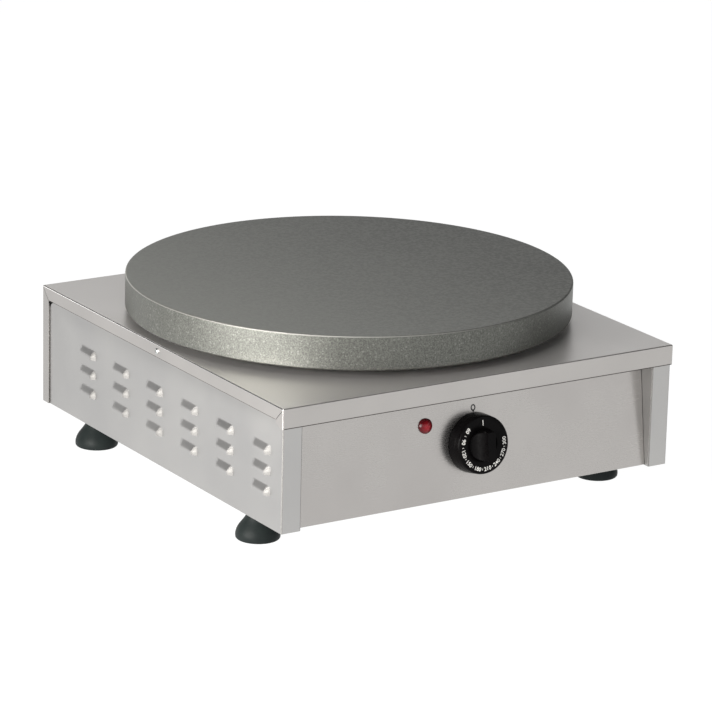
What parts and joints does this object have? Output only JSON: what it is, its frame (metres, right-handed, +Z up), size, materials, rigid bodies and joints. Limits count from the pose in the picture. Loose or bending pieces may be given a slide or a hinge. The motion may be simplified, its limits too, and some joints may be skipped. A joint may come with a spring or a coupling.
{
  "type": "electric crepe maker",
  "caption": "Countertop electric crepe maker: a round cast griddle plate on a folded stainless housing with a sloped control panel, louvred sides and levelling feet.",
  "frame": {"origin": "centre of the outline on the surface that the feet stand on", "axes": "+Z up, control panel towards -Y, +X to the right seen from the front"},
  "size_m": [0.4044, 0.456, 0.176],
  "materials": {
    "stainless_satin": "satin, fine rolled grain",
    "griddle_iron": "ground cast iron with a fine speckled non-stick coat",
    "plated_steel": "plain zinc-plated sheet",
    "zinc_bright": "bright plated fasteners",
    "element_sheath": "heat-stained nickel alloy sheath",
    "ceramic_fibre": "matt white fibre board",
    "knob_plastic": "moulded black, faint sheen",
    "moulded_black": "moulded black",
    "moulded_pale": "moulded heat-resistant plastic",
    "copper_tube": "drawn copper",
    "lens_red": "clear red moulded lens",
    "foot_plastic": "moulded black with a soft sheen"
  },
  "bodies": {
    "housing": {"griddle_plate": "griddle_iron", "outer_heating_element": "element_sheath", "inner_heating_element": "element_sheath", "insulation_disc": "ceramic_fibre", "thermostat_body": "moulded_black", "capillary_tube": "copper_tube", "lamp_lens": "lens_red", "lamp_body": "moulded_black", "terminal_block": "moulded_pale", "cord_gland": "moulded_black", "gland_nut": "moulded_black", "top_cover": "stainless_satin", "left_side_panel": "stainless_satin", "right_side_panel": "stainless_satin", "rear_cover": "stainless_satin", "front_panel": "stainless_satin", "base_plate": "plated_steel", "heat_shield": "plated_steel", "element_clamps": "plated_steel", "plate_posts": "plated_steel", "spacer_sleeves": "plated_steel", "foot_nuts": "zinc_bright", "post_bolts": "zinc_bright", "clamp_nuts": "zinc_bright", "clamp_studs": "zinc_bright", "cover_screws": "zinc_bright", "base_screws": "zinc_bright", "thermostat_screws": "zinc_bright", "thermostat_bulb": "zinc_bright", "lamp_nut": "zinc_bright"},
    "control": {"control_knob": "knob_plastic", "thermostat_spindle": "zinc_bright"},
    "foot_front_left": {"foot_front_left": "foot_plastic", "foot_stud_front_left": "zinc_bright"},
    "foot_front_right": {"foot_front_right": "foot_plastic", "foot_stud_front_right": "zinc_bright"},
    "foot_back_left": {"foot_back_left": "foot_plastic", "foot_stud_back_left": "zinc_bright"},
    "foot_back_right": {"foot_back_right": "foot_plastic", "foot_stud_back_right": "zinc_bright"}
  },
  "joints": [
    {"name": "knob_turn", "type": "hinge", "parent": "housing", "child": "control", "pos_m": [0.001, -0.19901, 0.07572], "axis": [0, 0.9919, -0.1271], "range_deg": [0, 270]},
    {"name": "foot_front_left_screw", "type": "slide", "parent": "housing", "child": "foot_front_left", "axis": [0, 0, -1], "range_m": [0, 0.012]},
    {"name": "foot_front_right_screw", "type": "slide", "parent": "housing", "child": "foot_front_right", "axis": [0, 0, -1], "range_m": [0, 0.012]},
    {"name": "foot_back_left_screw", "type": "slide", "parent": "housing", "child": "foot_back_left", "axis": [0, 0, -1], "range_m": [0, 0.012]},
    {"name": "foot_back_right_screw", "type": "slide", "parent": "housing", "child": "foot_back_right", "axis": [0, 0, -1], "range_m": [0, 0.012]}
  ]
}
